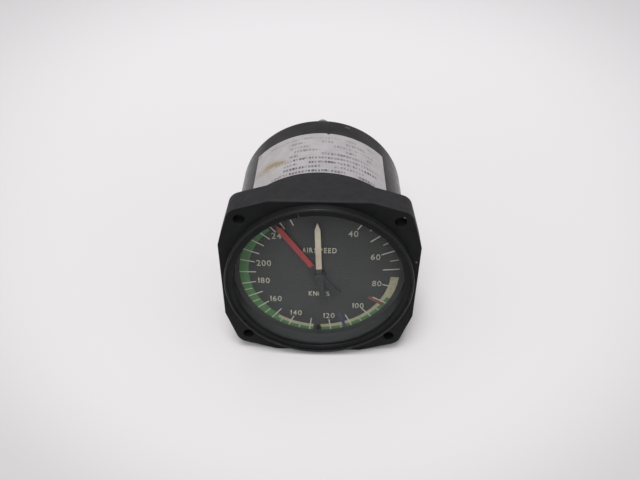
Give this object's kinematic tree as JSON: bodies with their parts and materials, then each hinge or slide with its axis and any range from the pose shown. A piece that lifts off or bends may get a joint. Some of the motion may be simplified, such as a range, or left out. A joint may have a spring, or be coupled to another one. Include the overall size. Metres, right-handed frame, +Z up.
{
  "type": "airspeed indicator",
  "caption": "Panel-mount aircraft airspeed indicator: square flange, round dial with white and red pointers, round can with pressure capsules and gear movement inside",
  "frame": {"origin": "on the dial axis, in the front face of the mounting flange, at the centre of the four panel holes", "axes": "+Z up, the dial faces -Y, +X to the right as seen from the front; the can runs back along +Y"},
  "size_m": [0.0818, 0.0919, 0.0818],
  "materials": {
    "frame_black": "moulded, matte charcoal black",
    "case_black": "black, semi-gloss",
    "ring_black": "black oxide, satin",
    "glass": "clear, polished",
    "rubber": "matte black",
    "dial_grey": "matte dark grey",
    "screw_black": "black",
    "pointer_white": "matte cream white, black tail",
    "pointer_red": "matte red, black tail",
    "foil": "satin silver foil, stained",
    "insert_metal": "dull",
    "nipple_blue": "blue-grey anodised",
    "plate_metal": "brushed",
    "pillar_brass": "turned",
    "bush_brass": "turned",
    "gear_brass": "stamped, polished",
    "steel": "turned",
    "capsule_bronze": "rolled corrugated sheet"
  },
  "bodies": {
    "housing": {"bezel_frame": "frame_black", "snap_ring": "ring_black", "glass": "glass", "glass_gasket": "rubber", "dial_plate": "dial_grey", "dial_screws": "screw_black", "case": "case_black", "case_seal": "rubber", "case_screws": "screw_black", "data_plate": "foil", "port_inserts": "insert_metal", "static_nipple": "nipple_blue", "front_plate": "plate_metal", "rear_plate": "plate_metal", "plate_pillars": "pillar_brass", "pillar_screws": "steel", "centre_bush": "bush_brass", "pivot_bushes": "bush_brass", "hairspring": "steel", "hairspring_stud": "pillar_brass", "rocker_lugs": "plate_metal", "lug_screws": "steel", "pitot_capsule": "capsule_bronze", "capsule_stem": "pillar_brass", "aneroid_capsule": "capsule_bronze", "aneroid_bridge": "plate_metal", "bridge_pillars": "pillar_brass", "bridge_screws": "steel", "aneroid_nut": "pillar_brass"},
    "airspeed_hand": {"airspeed_pointer": "pointer_white", "hand_staff": "steel", "hairspring_collet": "pillar_brass"},
    "limit_hand": {"limit_pointer": "pointer_red", "limit_sleeve": "steel"},
    "airspeed_gear": {"airspeed_sector": "gear_brass", "airspeed_arbor": "steel"},
    "limit_gear": {"limit_sector": "gear_brass", "limit_arbor": "steel"},
    "airspeed_rock": {"airspeed_rocker": "steel"},
    "limit_rock": {"limit_rocker": "steel"},
    "pitot_push": {"capsule_post": "steel"},
    "aneroid_push": {"aneroid_post": "steel"}
  },
  "joints": [
    {"name": "airspeed_turn", "type": "hinge", "parent": "housing", "child": "airspeed_hand", "pos_m": [0, 0, 0], "axis": [0, 1, 0], "range_deg": [0, 339], "stiffness_Nm_per_rad": 0.0001, "springref_deg": -17.19, "deforming": ["hairspring"]},
    {"name": "limit_turn", "type": "hinge", "parent": "housing", "child": "limit_hand", "pos_m": [0, 0, 0], "axis": [0, 1, 0], "range_deg": [-80, 0], "stiffness_Nm_per_rad": 0.001, "springref_deg": 2.86},
    {"name": "airspeed_gear_turn", "type": "hinge", "parent": "housing", "child": "airspeed_gear", "pos_m": [-0.01266, 0, -0.01104], "axis": [0, 1, 0], "range_deg": [-40.7, 0.02]},
    {"name": "limit_gear_turn", "type": "hinge", "parent": "housing", "child": "limit_gear", "pos_m": [-0.00822, 0, 0.01465], "axis": [0, 1, 0], "range_deg": [-0.02, 9.62]},
    {"name": "airspeed_rock_turn", "type": "hinge", "parent": "housing", "child": "airspeed_rock", "pos_m": [0, 0.034, -0.01289], "axis": [1, 0, 0], "range_deg": [-24.04, 0.02]},
    {"name": "limit_rock_turn", "type": "hinge", "parent": "housing", "child": "limit_rock", "pos_m": [0, 0.034, 0.0165], "axis": [1, 0, 0], "range_deg": [-0.02, 3.81]},
    {"name": "pitot_push_slide", "type": "slide", "parent": "housing", "child": "pitot_push", "axis": [0, -1, 0], "range_m": [0, 0.0013], "deforming": ["pitot_capsule"]},
    {"name": "aneroid_push_slide", "type": "slide", "parent": "housing", "child": "aneroid_push", "axis": [0, -1, 0], "range_m": [-0.000002, 0.000208], "deforming": ["aneroid_capsule"]}
  ],
  "couplings": [
    {"joint": "airspeed_gear_turn", "follows": "airspeed_turn", "ratio": -0.12},
    {"joint": "airspeed_rock_turn", "follows": "airspeed_turn", "ratio": -0.070849},
    {"joint": "pitot_push_slide", "follows": "airspeed_turn", "m_per_rad": 0.00021963},
    {"joint": "limit_gear_turn", "follows": "limit_turn", "ratio": -0.12},
    {"joint": "limit_rock_turn", "follows": "limit_turn", "ratio": -0.047407},
    {"joint": "aneroid_push_slide", "follows": "limit_turn", "m_per_rad": -0.00014696}
  ]
}
